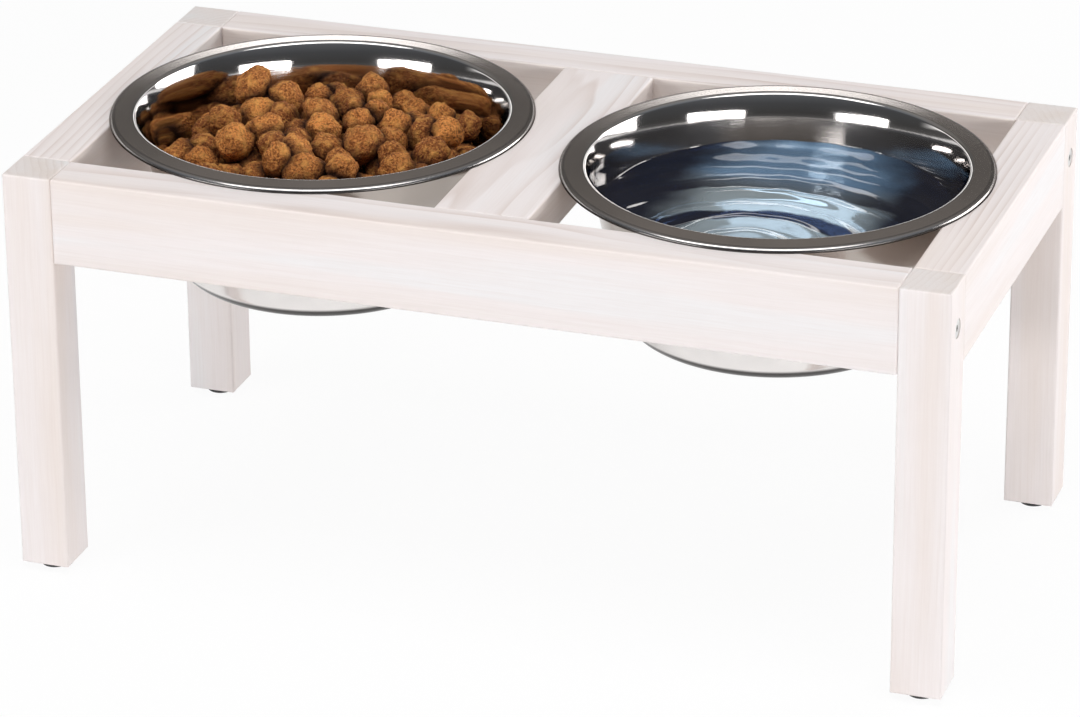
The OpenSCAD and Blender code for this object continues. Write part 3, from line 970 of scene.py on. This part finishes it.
class FEEDER_OT_water(bpy.types.Operator):
    """Fill the right bowl with rippled water"""

    bl_idname = "feeder.water"
    bl_label = "Water"

    def execute(self, context):
        food = context.scene.feeder_food
        if not food.show_water:
            return {"FINISHED"}
        sizes = context.scene.feeder_bowls
        centre = bowl_axis("right")
        soak = sizes.sheet * 0.4
        level = -food.water_depth
        edge = inner_radius(sizes, level) + soak
        turns = 240
        rings = 90
        section = [(edge * k / rings, level, 0) for k in range(1, rings + 1)]
        floor_in = sizes.sheet - BOWL_DEPTH
        down_wall = np.linspace(level, floor_in + sizes.base_bend, 24)[1:]
        round_bend = floor_in + sizes.base_bend * (1.0 - np.sin(np.linspace(0.0, 1.45, 8)[1:]))
        for z in (*down_wall, *round_bend):
            section.append((inner_radius(sizes, z) + soak, z - soak, 0))
        section.append((sizes.base_radius, floor_in - soak, 0))
        vertices, faces, _ = turn_section(section, level, floor_in - soak, centre, turns)
        top = len(vertices) - 2
        for index in list(range(rings * turns)) + [top]:
            x, y, z = vertices[index]
            vertices[index] = (x, y, z + ripple_height(food, x - centre.x, y - centre.y))
        water = new_piece("water", vertices, faces, "bowl_right")
        water.data.materials.append(clear_water(context.scene.feeder_colours, centre))
        return {"FINISHED"}


def soft_box(name, place, size, radiance):
    """A rectangular lamp that points at the bowls."""
    lamp = bpy.data.lights.new(name, "AREA")
    lamp.shape = "RECTANGLE"
    lamp.size, lamp.size_y = size
    lamp.energy = radiance * math.pi * size[0] * size[1]
    box = bpy.data.objects.new(name, lamp)
    box.location = place
    box.rotation_euler = (Vector(LAMP_AIM) - Vector(place)).to_track_quat("-Z", "Y").to_euler()
    bpy.context.scene.collection.objects.link(box)


def height_ramp(tree, height, stops):
    """A colour that changes with the height of a direction."""
    ramp = node(tree, "ValToRGB", {"Fac": height})
    bar = ramp.color_ramp
    while len(bar.elements) < len(stops):
        bar.elements.new(1.0)
    for element, (at, colour) in zip(bar.elements, stops):
        element.position = at
        element.color = (*colour, 1.0)
    return ramp.outputs["Color"]


def studio_world():
    """A dim room with a white skyline, and a lit strip of wall behind the stand."""
    world = bpy.data.worlds.new("studio")
    world.use_nodes = True
    tree = world.node_tree
    direction = node(tree, "TexCoord").outputs["Generated"]
    height = height_of(tree, direction)
    room = height_ramp(tree, height, ROOM_STOPS)
    wall = height_ramp(tree, height, WALL_STOPS)
    behind = vector_value(tree, "DOT_PRODUCT", direction, WALL_SIDE)
    behind = map_range(tree, behind, 0.1, 0.6, 0.0, 1.0, True)
    set_inputs(tree, tree.nodes["Background"], {"Color": mix_colour(tree, behind, room, wall)})
    bpy.context.scene.world = world


def pale_floor(colours):
    """A matt floor with a faint shadow: near white to the eye and through water, duller in reflections."""
    material, tree, shader, place = new_material("pale_floor")
    cloud = noise_value(tree, place, 3.0)
    colour = mix_colour(tree, cloud, colours.floor, scaled(colours.floor, 0.985))
    set_inputs(tree, shader, {"Base Color": colour, "Roughness": 0.9, "Specular IOR Level": 0.0})
    path = node(tree, "LightPath").outputs
    seen = math_node(tree, "MAXIMUM", path["Is Camera Ray"], path["Is Transmission Ray"])
    seen = math_node(tree, "MULTIPLY", seen, FLOOR_SEEN)
    mirrored = math_node(tree, "MULTIPLY", path["Is Glossy Ray"], FLOOR_MIRRORED)
    share = math_node(tree, "MAXIMUM", seen, mirrored)
    white = node(tree, "Emission", {"Color": (1.0, 1.0, 1.0, 1.0), "Strength": 1.0})
    both = node(tree, "MixShader", {0: share, 1: shader.outputs[0], 2: white.outputs[0]})
    set_inputs(tree, tree.nodes["Material Output"], {"Surface": both.outputs[0]})
    return material


def place_camera(scene):
    """A camera at the angles and the distance of the settings, pointed at its target."""
    stage = scene.feeder_stage
    data = bpy.data.cameras.new("camera")
    data.sensor_width = SENSOR_WIDTH
    data.lens = stage.lens
    camera = bpy.data.objects.new("camera", data)
    scene.collection.objects.link(camera)
    flat = math.cos(stage.elevation)
    back = Vector((math.sin(stage.azimuth) * flat, -math.cos(stage.azimuth) * flat,
                   math.sin(stage.elevation)))
    camera.location = Vector(stage.target) + back * stage.distance
    turn = (-back).to_track_quat("-Z", "Y").to_matrix()
    camera.rotation_euler = (turn @ Matrix.Rotation(stage.roll, 3, "Z")).to_euler()
    scene.camera = camera


def lay_floor(scene):
    half = FLOOR_HALF
    mesh = bpy.data.meshes.new("floor")
    mesh.from_pydata([(-half, -half, 0), (half, -half, 0), (half, half, 0), (-half, half, 0)],
                     [], [(0, 1, 2, 3)])
    mesh.materials.append(pale_floor(scene.feeder_colours))
    floor = bpy.data.objects.new("floor", mesh)
    scene.collection.objects.link(floor)


class FEEDER_OT_stage(bpy.types.Operator):
    """Set up the camera, the floor and the soft light"""

    bl_idname = "feeder.stage"
    bl_label = "Stage"

    def execute(self, context):
        scene = context.scene
        scene.view_settings.view_transform = "Standard"
        place_camera(scene)
        lay_floor(scene)
        studio_world()
        for name, place, size, radiance in SOFT_BOXES:
            soft_box(name, place, size, radiance * scene.feeder_stage.light)
        return {"FINISHED"}


class FEEDER_PT_panel(bpy.types.Panel):
    """Lists the steps that dress the feeder"""

    bl_label = "Raised dog feeder"
    bl_idname = "FEEDER_PT_panel"
    bl_space_type = "VIEW_3D"
    bl_region_type = "UI"
    bl_category = "Feeder"

    def draw(self, context):
        for step in STEPS:
            self.layout.operator(step.bl_idname)
        for group_name in SETTINGS:
            group = getattr(context.scene, group_name)
            for key in group.bl_rna.properties.keys():
                if key not in ("rna_type", "name"):
                    self.layout.prop(group, key)


SETTINGS = {
    "feeder_bowls": FeederBowlSizes,
    "feeder_food": FeederFood,
    "feeder_colours": FeederColours,
    "feeder_stage": FeederStage,
}
STEPS = (
    FEEDER_OT_stage, FEEDER_OT_timber, FEEDER_OT_hardware,
    FEEDER_OT_bowls, FEEDER_OT_food, FEEDER_OT_water,
)
CLASSES = (*SETTINGS.values(), *STEPS, FEEDER_PT_panel)


def register():
    for made in CLASSES:
        bpy.utils.register_class(made)
    for name, made in SETTINGS.items():
        setattr(bpy.types.Scene, name, PointerProperty(type=made))


def unregister():
    for name in SETTINGS:
        delattr(bpy.types.Scene, name)
    for made in reversed(CLASSES):
        bpy.utils.unregister_class(made)


def main():
    register()
    for step in STEPS:
        family, action = step.bl_idname.split(".")
        getattr(getattr(bpy.ops, family), action)()


if __name__ == "__main__":
    main()
